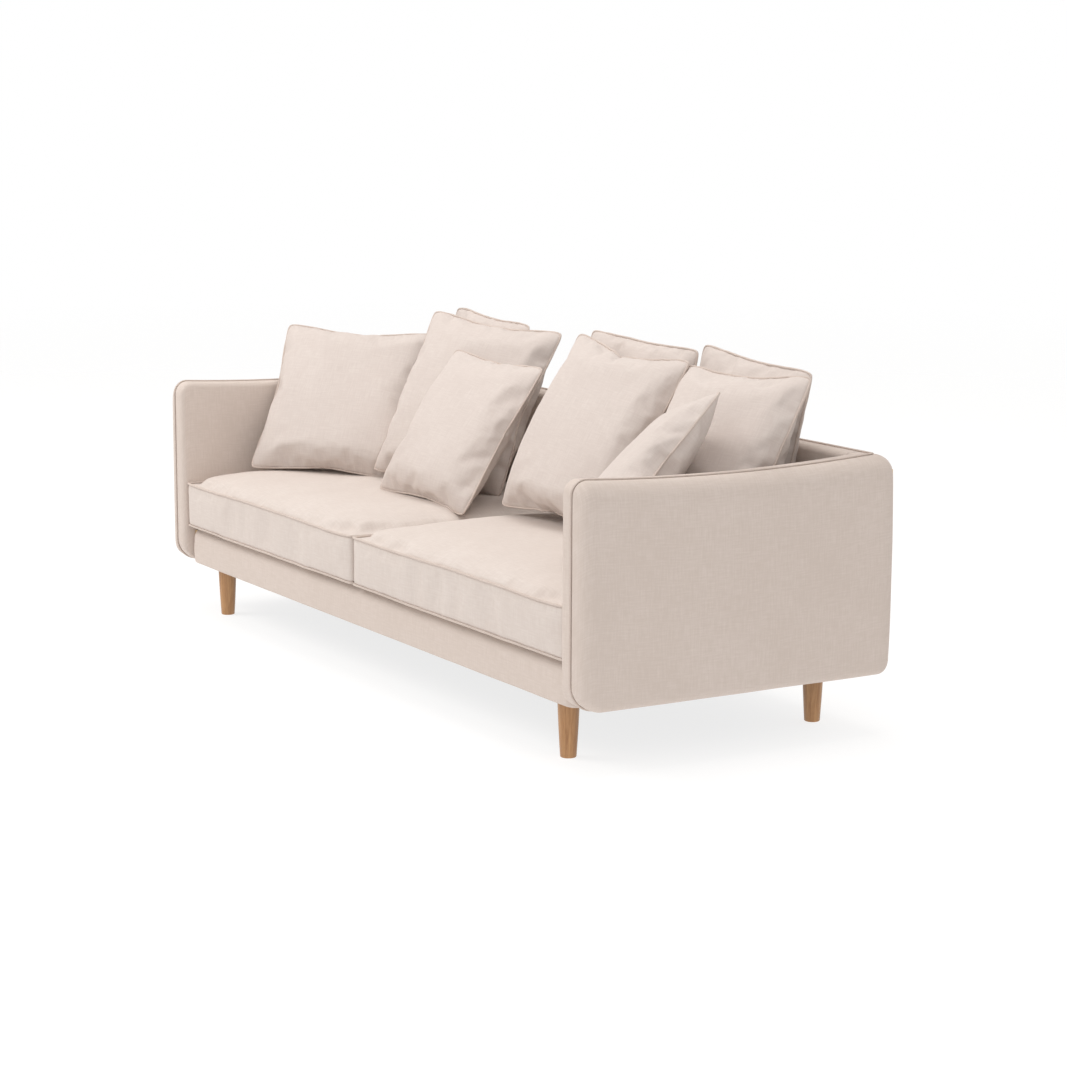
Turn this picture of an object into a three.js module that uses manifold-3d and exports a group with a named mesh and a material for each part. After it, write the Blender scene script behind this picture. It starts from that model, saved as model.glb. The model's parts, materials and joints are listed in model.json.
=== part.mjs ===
// Three-seat upholstered sofa: a timber frame on four turned beech legs, zigzag seat springs, padded covers,
// two loose boxed seat cushions and nine loose scatter pillows.
// Millimetres, +Z up, +X to the right seen from the front, the front faces -Y, origin on the floor.
import * as THREE from 'three';
import { mergeVertices } from 'three/addons/utils/BufferGeometryUtils.js';
import Module from 'manifold-3d';

const wasm = await Module();
wasm.setup();

// ---- driving dimensions ----
const LENGTH = 2394; // over the arms
const DEPTH = 918;
const HEIGHT = 700; // top of the arms and of the back
const BODY_BOTTOM = 152; // underside of the arms and the back
const ARM_THICK = 96;
const ARM_DIP = 16; // the arm's top line sags this much at mid depth
const PAD_IN = 22; // padding on the seat side of arms and back
const PAD_OUT = 14; // padding on the outside
const PAD_TOP = 20;
const INNER_HEM = 262; // the inside covers end here, above the seat frame
const GAP = 0.5; // left between pieces that only touch

const BOARD = 3; // hardboard under the inside padding
const TIMBER = 45; // posts and top rails
const RAIL_THICK = 28;
const FRAME_BOTTOM = 154; // underside of the leg rails, cross rail and corner blocks
const RAIL_BOTTOM = 168; // the outer rails stay clear of the covers' rolled bottom edges
const POST_BOTTOM = 182;
const RAIL_TOP = 246;
const CROSS_HEIGHT = 45;
const BLOCK_SIDE = 80; // corner blocks, along each rail
const BLOCK_HEIGHT = 60;

const FRONT_RAIL_FACE = -433; // padded face of the front rail
const FRONT_RAIL_LOW = 148;
const FRONT_RAIL_HIGH = 259;
const RAIL_PAD = 12;

const LEG_X = 989;
const LEG_FRONT_Y = -366;
const LEG_REAR_Y = 359;
const LEG_TOP = 151;
const LEG_TOP_R = 27.5;
const LEG_FOOT_R = 20;
const BOLT_R = 4; // M8 hanger bolt
const BOLT_HALF = 24; // length above and below the leg's top
const BOLT_PLAY = 0.3;

const SPRINGS_PER_SEAT = 5;
const SPRING_WIRE = 4;
const SPRING_Z = 250;
const SPRING_WAVES = 12;
const SPRING_SWING = 24; // half the width of the zigzag

const CLOTH = 2; // deck cloth and dust cover
const SEAT_TOP_WELT = 389;
const SEAT_BOTTOM = 262.5;
const SEAT_CROWN = 427;
const SEAT_FRONT = -448;
const SEAT_GAP = 3; // half the gap between the two cushions

// ---- derived dimensions ----
const HALF_L = LENGTH / 2;
const HALF_D = DEPTH / 2;
const ARM_IN = HALF_L - ARM_THICK; // inside face of the arm
const BACK_IN = HALF_D - ARM_THICK; // inside face of the back
const CAVITY_IN = ARM_IN + PAD_IN;
const CAVITY_OUT = HALF_L - PAD_OUT;
const TIMBER_IN = CAVITY_IN + BOARD + 2 * GAP; // inner face of the arm's timbers
const TIMBER_OUT = CAVITY_OUT - GAP;
const BACK_TIMBER_IN = BACK_IN + PAD_IN + BOARD + 2 * GAP;
const BACK_TIMBER_OUT = HALF_D - PAD_OUT - GAP;
const ARM_FRONT_Y = -HALF_D + PAD_TOP + GAP; // front of the arm's timbers
const TOP_RAIL_HIGH = HEIGHT - ARM_DIP - PAD_TOP - GAP;
const TOP_RAIL_LOW = TOP_RAIL_HIGH - TIMBER;
const FRONT_TIMBER = FRONT_RAIL_FACE + RAIL_PAD; // front face of the timber front rail
const FRONT_TIMBER_BACK = FRONT_TIMBER + RAIL_THICK;

// ---- finishes ----
const finish = (color, roughness, metalness = 0) => new THREE.MeshStandardMaterial({ color, roughness, metalness });
const linen = finish('#e4d8cf', 0.95);
const beech = finish('#c1935f', 0.5);
const pine = finish('#d8bc8c', 0.8);
const hardboard = finish('#8a6442', 0.85);
const steel = finish('#8d8f92', 0.4, 0.9);
const springWire = finish('#5f6266', 0.45, 0.9);
const deckCloth = finish('#cfc8bf', 0.95);
const dustCloth = finish('#2d2c2b', 0.95);

const sofa = new THREE.Group();

function add(name, geometry, material) {
  const mesh = new THREE.Mesh(geometry, material);
  mesh.name = name;
  sofa.add(mesh);
  return mesh;
}

// ---- solids ----
function toManifold(geometry) {
  const bare = geometry.clone();
  bare.deleteAttribute('normal');
  bare.deleteAttribute('uv');
  const merged = mergeVertices(bare, 1e-3);
  const triVerts = new Uint32Array(merged.index.array);
  const vertProperties = new Float32Array(merged.attributes.position.array);
  return new wasm.Manifold(new wasm.Mesh({ numProp: 3, vertProperties, triVerts }));
}

function fromManifold(solid) {
  const mesh = solid.getMesh();
  const geometry = new THREE.BufferGeometry();
  geometry.setAttribute('position', new THREE.BufferAttribute(new Float32Array(mesh.vertProperties), 3));
  geometry.setIndex(new THREE.BufferAttribute(new Uint32Array(mesh.triVerts), 1));
  geometry.computeVertexNormals();
  return geometry;
}

function block([x0, x1], [y0, y1], [z0, z1]) {
  const geometry = new THREE.BoxGeometry(x1 - x0, y1 - y0, z1 - z0);
  return geometry.translate((x0 + x1) / 2, (y0 + y1) / 2, (z0 + z1) / 2);
}

// A range on the left (side -1) or right (side +1), given for the right.
const mirrored = (side, low, high) => (side > 0 ? [low, high] : [-high, -low]);

// A rectangle with its own radius at each corner, anticlockwise from the low-low corner.
function roundedRect(a0, a1, b0, b1, [r00, r10, r11, r01]) {
  const shape = new THREE.Shape();
  shape.moveTo(a0 + r00, b0);
  shape.lineTo(a1 - r10, b0);
  if (r10) shape.absarc(a1 - r10, b0 + r10, r10, -Math.PI / 2, 0, false);
  shape.lineTo(a1, b1 - r11);
  if (r11) shape.absarc(a1 - r11, b1 - r11, r11, 0, Math.PI / 2, false);
  shape.lineTo(a0 + r01, b1);
  if (r01) shape.absarc(a0 + r01, b1 - r01, r01, Math.PI / 2, Math.PI, false);
  shape.lineTo(a0, b0 + r00);
  if (r00) shape.absarc(a0 + r00, b0 + r00, r00, Math.PI, 1.5 * Math.PI, false);
  return shape;
}

const extrude = (shape, depth, curveSegments) =>
  new THREE.ExtrudeGeometry(shape, { depth, bevelEnabled: false, curveSegments });

// A shape drawn in Y and Z, swept along X from x0 to x1.
function sweepX(shape, x0, x1, curveSegments = 5) {
  const turn = new THREE.Matrix4().makeBasis(
    new THREE.Vector3(0, 1, 0),
    new THREE.Vector3(0, 0, 1),
    new THREE.Vector3(1, 0, 0),
  );
  return extrude(shape, x1 - x0, curveSegments).applyMatrix4(turn).translate(x0, 0, 0);
}

// A shape drawn in X and Z, swept along Y from y0 to y1.
function sweepY(shape, y0, y1, curveSegments = 5) {
  return extrude(shape, y1 - y0, curveSegments).rotateX(Math.PI / 2).translate(0, y1, 0);
}

// ---- timber frame ----
function seatFrame() {
  const railZ = [RAIL_BOTTOM, RAIL_TOP];
  const railX = [-TIMBER_IN + GAP, TIMBER_IN - GAP];
  add('front_rail', block(railX, [FRONT_TIMBER + GAP, FRONT_TIMBER_BACK], railZ), pine);
  add('rear_rail', block(railX, [BACK_TIMBER_IN, BACK_TIMBER_OUT], railZ), pine);
  const between = [FRONT_TIMBER_BACK + GAP, BACK_TIMBER_IN - GAP];
  const centreX = [-RAIL_THICK / 2, RAIL_THICK / 2];
  add('centre_cross_rail', block(centreX, between, [FRAME_BOTTOM, RAIL_TOP - 2 * SPRING_WIRE]), pine);
}

function sideFrame(side, word) {
  const x = mirrored(side, TIMBER_IN, TIMBER_OUT);
  const postZ = [POST_BOTTOM, TOP_RAIL_LOW - GAP];
  const rearPostFront = BACK_TIMBER_OUT - TIMBER;
  add(`${word}_arm_front_post`, block(x, [ARM_FRONT_Y, ARM_FRONT_Y + TIMBER], postZ), pine);
  add(`${word}_arm_rear_post`, block(x, [rearPostFront, BACK_TIMBER_OUT], postZ), pine);
  add(`${word}_arm_top_rail`, block(x, [ARM_FRONT_Y, BACK_TIMBER_OUT], [TOP_RAIL_LOW, TOP_RAIL_HIGH]), pine);
  const railY = [ARM_FRONT_Y + TIMBER + GAP, rearPostFront - GAP];
  add(`${word}_side_rail`, block(x, railY, [RAIL_BOTTOM, RAIL_TOP]), pine);
  const boardX = mirrored(side, CAVITY_IN + GAP, CAVITY_IN + GAP + BOARD);
  add(`${word}_arm_board`, block(boardX, [ARM_FRONT_Y, BACK_IN], [INNER_HEM, TOP_RAIL_HIGH]), hardboard);
  cornerBlock(`front_${word}_corner_block`, side, FRONT_TIMBER_BACK + GAP, 1);
  cornerBlock(`rear_${word}_corner_block`, side, BACK_TIMBER_IN - GAP, -1);
}

// A triangular glue block in the angle between a rail along X and the side rail.
function cornerBlock(name, side, railFace, inwards) {
  const corner = TIMBER_IN - GAP;
  const shape = new THREE.Shape();
  shape.moveTo(side * corner, railFace);
  shape.lineTo(side * (corner - BLOCK_SIDE), railFace);
  shape.lineTo(side * corner, railFace + inwards * BLOCK_SIDE);
  add(name, extrude(shape, BLOCK_HEIGHT, 1).translate(0, 0, FRAME_BOTTOM), pine);
}

function backFrame() {
  const y = [BACK_TIMBER_IN, BACK_TIMBER_OUT];
  const topX = [-TIMBER_IN + GAP, TIMBER_IN - GAP];
  add('back_top_rail', block(topX, y, [TOP_RAIL_LOW, TOP_RAIL_HIGH]), pine);
  const spacing = (2 * ARM_IN) / SPRINGS_PER_SEAT; // midway between two springs
  ['left', 'centre', 'right'].forEach((word, i) => {
    const at = (i - 1) * spacing;
    const x = [at - TIMBER / 2, at + TIMBER / 2];
    add(`back_post_${word}`, block(x, y, [RAIL_TOP + GAP, TOP_RAIL_LOW - GAP]), pine);
  });
  const boardY = [BACK_IN + PAD_IN + GAP, BACK_IN + PAD_IN + GAP + BOARD];
  add('back_board', block([-ARM_IN, ARM_IN], boardY, [INNER_HEM, TOP_RAIL_HIGH]), hardboard);
}

// ---- legs, each on a hanger bolt that screws up into a cross rail ----
function boltHole(x, y) {
  const hole = new THREE.CylinderGeometry(BOLT_R + BOLT_PLAY, BOLT_R + BOLT_PLAY, 2 * (BOLT_HALF + 1), 12);
  return toManifold(hole.rotateX(Math.PI / 2).translate(x, y, LEG_TOP));
}

function legs(side, word) {
  const x = side * LEG_X;
  const legSpots = [['front', LEG_FRONT_Y], ['rear', LEG_REAR_Y]];
  const railX = [x - TIMBER / 2, x + TIMBER / 2];
  const railY = [FRONT_TIMBER_BACK + GAP, BACK_TIMBER_IN - GAP];
  const rail = block(railX, railY, [FRAME_BOTTOM, FRAME_BOTTOM + CROSS_HEIGHT]);
  let bored = toManifold(rail);
  for (const [end, y] of legSpots) {
    const outline = [
      [0, 0], [LEG_FOOT_R - 2, 0], [LEG_FOOT_R, 2], [LEG_TOP_R, LEG_TOP - 0.3], [0, LEG_TOP - 0.3],
    ].map(([r, z]) => new THREE.Vector2(r, z));
    const turned = new THREE.LatheGeometry(outline, 24).rotateX(Math.PI / 2).translate(x, y, 0);
    const hole = boltHole(x, y);
    add(`${end}_${word}_leg`, fromManifold(toManifold(turned).subtract(hole)), beech);
    const bolt = new THREE.CylinderGeometry(BOLT_R, BOLT_R, 2 * BOLT_HALF, 12);
    add(`${end}_${word}_leg_bolt`, bolt.rotateX(Math.PI / 2).translate(x, y, LEG_TOP), steel);
    bored = bored.subtract(hole);
  }
  add(`${word}_leg_rail`, fromManifold(bored), pine);
}

// ---- zigzag springs, front rail to rear rail ----
function springGeometry(x) {
  const front = FRONT_TIMBER + RAIL_THICK / 2;
  const pitch = (BACK_TIMBER_IN + RAIL_THICK / 2 - front) / SPRING_WAVES;
  const line = [];
  for (let wave = 0; wave < SPRING_WAVES; wave++) {
    const y = front + wave * pitch;
    line.push([-1, y + 0.06 * pitch], [-1, y + 0.32 * pitch], [1, y + 0.56 * pitch], [1, y + 0.82 * pitch]);
  }
  const centre = line.map(([swing, y]) => new THREE.Vector2(x + swing * SPRING_SWING, y));
  const offset = (sign) =>
    centre.map((point, i) => {
      const before = centre[Math.max(i - 1, 0)];
      const after = centre[Math.min(i + 1, centre.length - 1)];
      const along = after.clone().sub(before).normalize();
      return new THREE.Vector2(-along.y, along.x).multiplyScalar(sign * SPRING_WIRE * 0.55).add(point);
    });
  const shape = new THREE.Shape([...offset(1), ...offset(-1).reverse()]);
  return extrude(shape, SPRING_WIRE, 1).translate(0, 0, SPRING_Z - SPRING_WIRE / 2);
}

function springs(side, word) {
  const spacing = ARM_IN / SPRINGS_PER_SEAT;
  for (let i = 0; i < SPRINGS_PER_SEAT; i++) {
    add(`seat_spring_${word}_${i + 1}`, springGeometry(side * (i + 0.5) * spacing), springWire);
  }
}

// ---- padded covers ----
// An arm seen from the side: rounded corners and a top line that dips a little at mid depth.
function armSideShape() {
  const shape = new THREE.Shape();
  const y = HALF_D;
  const z = HEIGHT;
  const [frontTop, frontLow, rearTop, rearLow] = [38, 65, 30, 45];
  shape.moveTo(-y + frontLow, BODY_BOTTOM);
  shape.lineTo(y - rearLow, BODY_BOTTOM);
  shape.absarc(y - rearLow, BODY_BOTTOM + rearLow, rearLow, -Math.PI / 2, 0, false);
  shape.lineTo(y, z - rearTop);
  shape.absarc(y - rearTop, z - rearTop, rearTop, 0, Math.PI / 2, false);
  shape.quadraticCurveTo(0, z - 2 * ARM_DIP, -y + frontTop, z);
  shape.absarc(-y + frontTop, z - frontTop, frontTop, Math.PI / 2, Math.PI, false);
  shape.lineTo(-y, BODY_BOTTOM + frontLow);
  shape.absarc(-y + frontLow, BODY_BOTTOM + frontLow, frontLow, Math.PI, 1.5 * Math.PI, false);
  return shape;
}

function armCover(side, word) {
  const [x0, x1] = mirrored(side, ARM_IN, HALF_L);
  const byside = (inner, outer) => (side > 0 ? [inner, outer] : [outer, inner]);
  const [topLeft, topRight] = byside(16, 42);
  const [frontLeft, frontRight] = byside(16, 28);
  const [rearLeft, rearRight] = byside(0, 42);
  const frontView = roundedRect(x0, x1, BODY_BOTTOM - 1, HEIGHT, [0, 0, topRight, topLeft]);
  const plan = roundedRect(x0, x1, -HALF_D, HALF_D, [frontLeft, frontRight, rearRight, rearLeft]);
  let cover = toManifold(sweepX(armSideShape(), x0, x1, 6));
  cover = cover.intersect(toManifold(sweepY(frontView, -HALF_D - 1, HALF_D + 1)));
  cover = cover.intersect(toManifold(extrude(plan, HEIGHT, 5)));
  const low = BODY_BOTTOM - 1;
  const cavity = [mirrored(side, CAVITY_IN, CAVITY_OUT), [-HALF_D + PAD_TOP, HALF_D - PAD_OUT]];
  const insideHem = [mirrored(side, ARM_IN - 1, CAVITY_IN + 1), [FRONT_RAIL_FACE - GAP, HALF_D - PAD_OUT]];
  const backJoint = [mirrored(side, ARM_IN - 1, CAVITY_IN + 1), [BACK_IN, HALF_D - PAD_OUT]];
  cover = cover.subtract(toManifold(block(...cavity, [low, HEIGHT - ARM_DIP - PAD_TOP])));
  cover = cover.subtract(toManifold(block(...insideHem, [low, INNER_HEM - GAP])));
  cover = cover.subtract(toManifold(block(...backJoint, [low, HEIGHT - ARM_DIP - PAD_TOP])));
  add(`${word}_arm_cover`, fromManifold(cover), linen);
}

function backCover() {
  const end = ARM_IN - GAP;
  const outside = roundedRect(BACK_IN, HALF_D, BODY_BOTTOM, HEIGHT, [0, 0, 42, 16]);
  let cover = toManifold(sweepX(outside, -end, end));
  const cavityY = [BACK_IN + PAD_IN, HALF_D - PAD_OUT];
  const through = [-HALF_L, HALF_L];
  cover = cover.subtract(toManifold(block(through, cavityY, [BODY_BOTTOM - 1, HEIGHT - ARM_DIP - PAD_TOP])));
  const below = [BODY_BOTTOM - 1, INNER_HEM - GAP];
  cover = cover.subtract(toManifold(block(through, [BACK_IN - 1, BACK_IN + PAD_IN + 1], below)));
  add('back_cover', fromManifold(cover), linen);
}

// The front rail's padded cover wraps its front, top and underside and is open behind.
function frontRailCover() {
  const end = ARM_IN - GAP;
  const back = FRONT_TIMBER_BACK - 2; // clear of the front legs
  const outside = roundedRect(FRONT_RAIL_FACE, back, FRONT_RAIL_LOW, FRONT_RAIL_HIGH, [8, 0, 0, 18]);
  let cover = toManifold(sweepX(outside, -end, end));
  const room = block([-HALF_L, HALF_L], [FRONT_TIMBER, back + 1], [RAIL_BOTTOM - GAP, RAIL_TOP + 8]);
  cover = cover.subtract(toManifold(room));
  add('front_rail_cover', fromManifold(cover), linen);
}

function cloths() {
  const deckY = [FRONT_TIMBER_BACK + GAP, BACK_IN + PAD_IN - GAP];
  const deckZ = [FRONT_RAIL_HIGH - CLOTH, FRONT_RAIL_HIGH];
  add('deck_cloth', block([-ARM_IN - PAD_IN + GAP, ARM_IN + PAD_IN - GAP], deckY, deckZ), deckCloth);
  const dustY = [FRONT_TIMBER_BACK + 2 * GAP, BACK_TIMBER_OUT - GAP];
  const dustZ = [LEG_TOP + GAP, LEG_TOP + GAP + CLOTH];
  let dust = toManifold(block([-TIMBER_OUT, TIMBER_OUT], dustY, dustZ));
  for (const x of [-LEG_X, LEG_X]) {
    for (const y of [LEG_FRONT_Y, LEG_REAR_Y]) dust = dust.subtract(boltHole(x, y));
  }
  add('dust_cover', fromManifold(dust), dustCloth);
}

// ---- cushions and pillows: closed stacks of rounded outlines ----
// Each level is [z, across, along]: an outline with those half sizes at that height.
function stacked(levels, around, power) {
  const position = [];
  const index = [];
  const rounded = (t) => Math.sign(t) * Math.abs(t) ** (2 / power);
  for (const [z, across, along] of levels) {
    for (let i = 0; i < around; i++) {
      const angle = ((i + 0.5) / around) * 2 * Math.PI;
      position.push(across * rounded(Math.cos(angle)), along * rounded(Math.sin(angle)), z);
    }
  }
  for (let level = 0; level + 1 < levels.length; level++) {
    for (let i = 0; i < around; i++) {
      const [a, b] = [level * around + i, level * around + ((i + 1) % around)];
      index.push(a, b, b + around, a, b + around, a + around);
    }
  }
  const last = (levels.length - 1) * around;
  position.push(0, 0, levels[0][0], 0, 0, levels.at(-1)[0]);
  for (let i = 0; i < around; i++) {
    const next = (i + 1) % around;
    index.push(last + around, next, i);
    index.push(last + around + 1, last + i, last + next);
  }
  const geometry = new THREE.BufferGeometry();
  geometry.setAttribute('position', new THREE.Float32BufferAttribute(position, 3));
  geometry.setIndex(index);
  geometry.computeVertexNormals();
  return geometry;
}

function seatCushion(side, word) {
  const [across, along] = [(ARM_IN - 2 - SEAT_GAP) / 2, (BACK_IN - 2 - SEAT_FRONT) / 2];
  const crown = SEAT_CROWN - SEAT_TOP_WELT;
  const levels = [
    [SEAT_BOTTOM, across - 8, along - 8],
    [SEAT_BOTTOM + 8, across, along],
    [SEAT_TOP_WELT - 6, across, along],
    [SEAT_TOP_WELT, across - 6, along - 6],
    [SEAT_TOP_WELT + 0.55 * crown, across - 40, along - 40],
    [SEAT_TOP_WELT + 0.85 * crown, across - 95, along - 95],
    [SEAT_CROWN, across - 180, along - 180],
  ];
  const cushion = add(`seat_cushion_${word}`, stacked(levels, 32, 14), linen);
  cushion.position.set(side * (SEAT_GAP + across), SEAT_FRONT + along, 0);
}

// Loose pillows: where the middle is, the side, the thickness, and how each is turned about the vertical,
// leant back, and rolled in its own plane, in degrees.
const PILLOWS = {
  pillow_left_corner: { at: [-892, -17, 637], side: 470, thick: 130, yaw: 41, lean: 33, roll: -2 },
  pillow_left_front: { at: [-449, 159, 669], side: 502, thick: 130, yaw: 18, lean: 27, roll: -4 },
  pillow_left_back: { at: [-652, 294, 664], side: 464, thick: 108, yaw: -3, lean: 16, roll: -2 },
  pillow_small_centre: { at: [-238, 20, 645], side: 464, thick: 120, yaw: 3, lean: 33, roll: -2 },
  pillow_centre_front: { at: [340, 104, 673], side: 502, thick: 130, yaw: 4, lean: 27, roll: -4 },
  pillow_centre_back: { at: [241, 274, 670], side: 462, thick: 106, yaw: 4, lean: 12, roll: -2 },
  pillow_right_front: { at: [842, 148, 670], side: 480, thick: 128, yaw: 3, lean: 26, roll: 2 },
  pillow_right_back: { at: [721, 304, 676], side: 450, thick: 100, yaw: 1, lean: 11, roll: -4 },
  pillow_small_right: { at: [884, -96, 642], side: 400, thick: 100, yaw: -26, lean: 41, roll: 30 },
};
const PILLOW_SEAM = 12; // thickness at the sewn edge

function pillow(name, { at, side, thick, yaw, lean, roll }) {
  const half = side / 2;
  const [rim, swell] = [PILLOW_SEAM / 2, (thick - PILLOW_SEAM) / 2];
  const front = [[1, 0], [0.9, 0.36], [0.72, 0.68], [0.48, 0.9], [0.2, 1]];
  const level = ([share, rise], face) => [face * (rim + rise * swell), share * half, share * half];
  const levels = [...front.map((pair) => level(pair, -1)).reverse(), ...front.map((pair) => level(pair, 1))];
  const mesh = add(name, stacked(levels, 28, 6), linen);
  // The stack's +Z is the pillow's front face; stand it up, then roll, lean and turn it.
  const stand = new THREE.Matrix4().makeRotationX(Math.PI / 2);
  const rolled = new THREE.Matrix4().makeRotationY(THREE.MathUtils.degToRad(-roll));
  const leant = new THREE.Matrix4().makeRotationX(THREE.MathUtils.degToRad(-lean));
  const turned = new THREE.Matrix4().makeRotationZ(THREE.MathUtils.degToRad(yaw));
  mesh.applyMatrix4(turned.multiply(leant).multiply(rolled).multiply(stand));
  mesh.position.set(...at);
}

// ---- assembly ----
seatFrame();
backFrame();
for (const [side, word] of [[-1, 'left'], [1, 'right']]) {
  sideFrame(side, word);
  legs(side, word);
  springs(side, word);
  armCover(side, word);
  seatCushion(side, word);
}
backCover();
frontRailCover();
cloths();
for (const [name, pose] of Object.entries(PILLOWS)) pillow(name, pose);

export default sofa;
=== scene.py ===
"""A three-seat upholstered sofa on four turned legs, with two boxed seat cushions and nine loose pillows."""
import json
import math

import bmesh
import bpy
from mathutils import Matrix, Vector, noise
from mathutils.bvhtree import BVHTree
from mathutils.kdtree import KDTree

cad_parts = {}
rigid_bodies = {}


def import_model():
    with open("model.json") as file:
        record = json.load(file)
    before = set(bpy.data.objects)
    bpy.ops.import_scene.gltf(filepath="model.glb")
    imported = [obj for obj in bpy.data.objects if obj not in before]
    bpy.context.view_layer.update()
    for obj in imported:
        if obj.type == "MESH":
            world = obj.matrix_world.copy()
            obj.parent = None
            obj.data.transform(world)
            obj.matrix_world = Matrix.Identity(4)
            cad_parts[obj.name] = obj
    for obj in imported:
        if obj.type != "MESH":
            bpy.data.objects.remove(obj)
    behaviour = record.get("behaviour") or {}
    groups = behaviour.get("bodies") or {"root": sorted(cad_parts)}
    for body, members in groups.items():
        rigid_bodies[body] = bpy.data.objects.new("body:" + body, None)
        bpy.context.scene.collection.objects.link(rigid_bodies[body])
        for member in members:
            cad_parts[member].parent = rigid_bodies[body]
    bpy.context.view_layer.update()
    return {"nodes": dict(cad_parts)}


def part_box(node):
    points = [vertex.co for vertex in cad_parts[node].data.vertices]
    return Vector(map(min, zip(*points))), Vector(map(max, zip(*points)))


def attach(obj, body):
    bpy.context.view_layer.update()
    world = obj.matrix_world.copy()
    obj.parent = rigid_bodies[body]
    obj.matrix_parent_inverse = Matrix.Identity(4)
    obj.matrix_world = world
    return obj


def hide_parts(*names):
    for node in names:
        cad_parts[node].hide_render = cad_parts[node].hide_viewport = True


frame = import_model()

MM = 0.001
ROOT = "sofa_frame"

# ---- the camera ----
AZIMUTH, ELEVATION, ROLL = (math.radians(angle) for angle in (59.27, 9.78, 0.19))
DISTANCE = 7.359  # m, from the point looked at
LOOK_AT = Vector((0.038, 0.100, 0.363))
LENS, SENSOR = 89.61, 36.0  # mm

# ---- the padded frame ----
ARM_LOW, ARM_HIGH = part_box("right_arm_cover")
OUTER_ROLL = 50 * MM  # the outside panel rolls in to the welt over this radius
INNER_ROLL = 16 * MM
FRONT_ROLL = 28 * MM  # depth of the roll down the arm's front edge
TOP_CORNER, BOTTOM_CORNER = 40 * MM, 65 * MM  # the arm's front corners, seen from the side
ARM_FOOT, BACK_FOOT = 18 * MM, 42 * MM  # roll along the bottom edges
ARM_DIP = 16 * MM
WELT_X = ARM_HIGH.x - OUTER_ROLL
WELT_Y = ARM_HIGH.y - OUTER_ROLL
INSIDE = WELT_X - ARM_LOW.x  # from the welt in to the seat side
FRONT, TOP, BOTTOM = ARM_LOW.y, ARM_HIGH.z, ARM_LOW.z
INNER_FOOT = 6 * MM  # roll along the bottom edge of the seat side
CORNER_SEAM = 6 * MM  # the covers' seams lie this far in from the arms' inner faces
CORD = 2.7 * MM  # radius of the covered piping cord
CORD_RISE = 0.9 * MM  # how far the cord stands out of its groove
GROOVE_DEPTH, GROOVE_WIDTH = 2.2 * MM, 4 * MM  # the padding dips to the welt
PUFF = 3 * MM  # how far the padding stands out mid panel

# ---- the loose cushions ----
CROWN = 43 * MM  # how far the top of a seat cushion rises over its upper seam
SEAM_SINK = 32 * MM  # upper seam of a seat cushion below its CAD crown
SEAT_CORD, PILLOW_CORD = 3.3 * MM, 3.0 * MM  # piping radii
CORD_STEP = 6 * MM  # spacing of points along a cushion's piping
GRID = 8 * MM  # cloth grid of a pillow
SIM_FRAMES = 34
SINK = 7 * MM  # how far a pillow's lower edge presses into the seat
REACH = 0.3  # m, how far ahead a pillow looks for its neighbour
FOLD = 4 * MM  # extra room kept by the far face of a pressed pillow
PRESS_ROUNDS = 3


def quarter(t):
    """Height of a quarter circle of radius 1 at t from its edge: 0 at the edge, 1 from t = 1 on."""
    return math.sqrt(max(0.0, 1 - (1 - min(t, 1.0)) ** 2))


def smooth(t):
    """Eases from 0 at t = 0 to 1 at t = 1."""
    t = min(max(t, 0.0), 1.0)
    return t * t * (3 - 2 * t)


# ---- materials ----
def linear(colour):
    """An sRGB hex colour as the linear RGBA that a shader takes."""
    parts = [int(colour[i:i + 2], 16) / 255 for i in (1, 3, 5)]
    return [c / 12.92 if c <= 0.04045 else ((c + 0.055) / 1.055) ** 2.4 for c in parts] + [1.0]


def add(tree, kind, inputs=None, **settings):
    """Adds a node. inputs maps a socket's name or number to a value or to the output that feeds it."""
    made = tree.nodes.new(kind)
    for key, value in settings.items():
        setattr(made, key, value)
    for key, value in (inputs or {}).items():
        if isinstance(value, bpy.types.NodeSocket):
            tree.links.new(value, made.inputs[key])
        else:
            made.inputs[key].default_value = value
    return made


def new_material(name, roughness, **shader):
    material = bpy.data.materials.new(name)
    material.use_nodes = True
    tree = material.node_tree
    surface = tree.nodes["Principled BSDF"]
    surface.inputs["Roughness"].default_value = roughness
    for key, value in shader.items():
        surface.inputs[key.replace("_", " ")].default_value = value
    return material, tree, surface


def blend_colours(tree, factor, low, high):
    ramp = add(tree, "ShaderNodeValToRGB", {0: factor})
    ramp.color_ramp.elements[0].color = linear(low)
    ramp.color_ramp.elements[1].color = linear(high)
    return ramp.outputs[0]


SLUBS_PER_METRE = (260, 22, 1)  # thick and thin stretches of yarn, 4 mm wide and about 45 mm long
WEAVE_SHARE, SLUB_SHARE, WASH_SHARE = 0.22, 0.8, 0.35


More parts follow.
